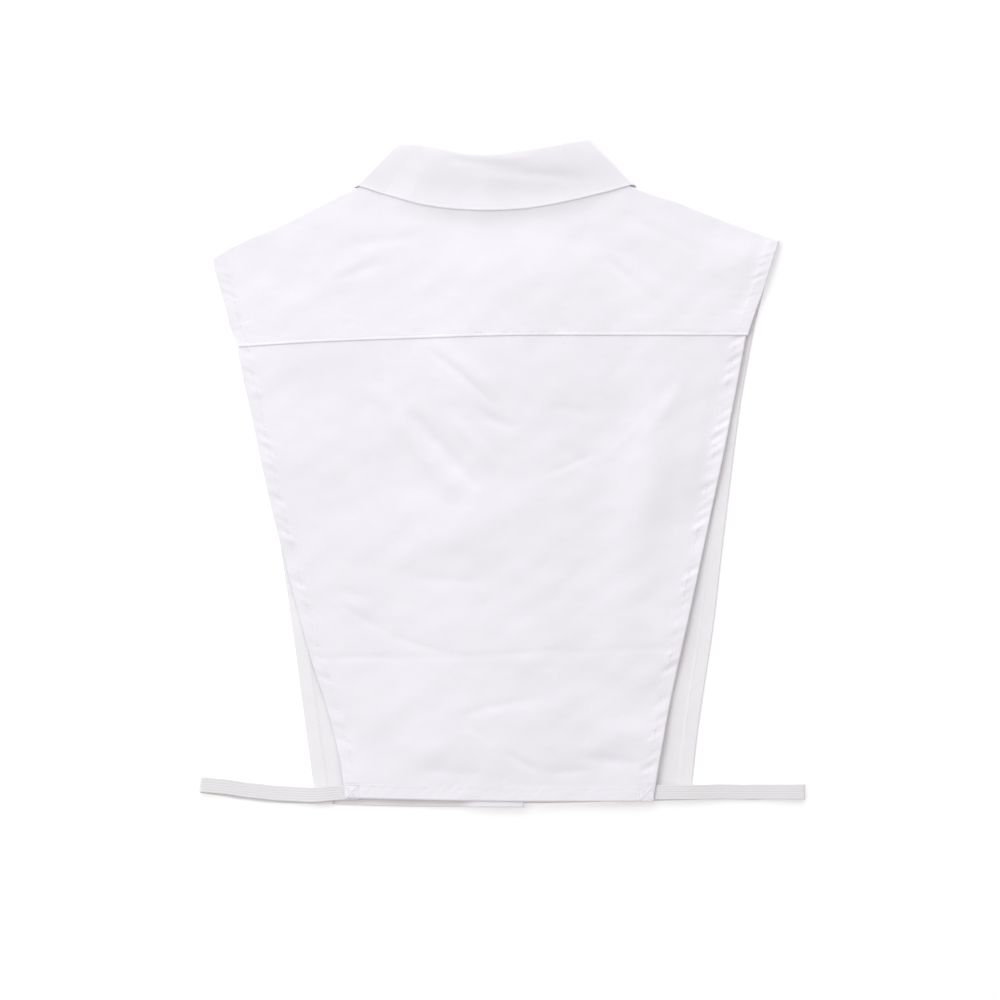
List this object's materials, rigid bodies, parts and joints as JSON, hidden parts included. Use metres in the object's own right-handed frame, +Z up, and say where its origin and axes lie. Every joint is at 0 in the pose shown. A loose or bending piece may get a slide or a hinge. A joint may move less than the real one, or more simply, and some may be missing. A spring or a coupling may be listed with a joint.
{
  "type": "detachable shirt collar on a sleeveless false shirt front, laid face down",
  "caption": "Shirt collar with stand and folded leaf on a short sleeveless false front: back yoke, tapering back, buttoned fronts and side elastics, laid flat with its back up",
  "frame": {"origin": "on the floor under the middle of the outline's box", "axes": "X across the back with the wearer's left at -X, Y from the hem up to the collar, Z up; the back is up and the fronts lie on the floor"},
  "size_m": [0.4299, 0.4723, 0.0117],
  "materials": {
    "cotton": "white plain-weave shirting, matt, softly creased",
    "collar_cotton": "the same shirting over a stiffer inside, smooth, topstitched near its edge",
    "elastic": "white narrow flat elastic with lengthwise ribs",
    "button": "white four-hole shirt button, softly glossy"
  },
  "bodies": {
    "root": {"back_yoke": "cotton", "back_panel": "cotton", "front_left": "cotton", "front_right": "cotton", "collar_stand": "collar_cotton", "collar_leaf": "collar_cotton", "elastic_left": "elastic", "elastic_right": "elastic", "button_stand": "button", "button_1": "button", "button_2": "button", "button_3": "button", "button_4": "button", "button_5": "button", "button_6": "button"}
  },
  "joints": []
}
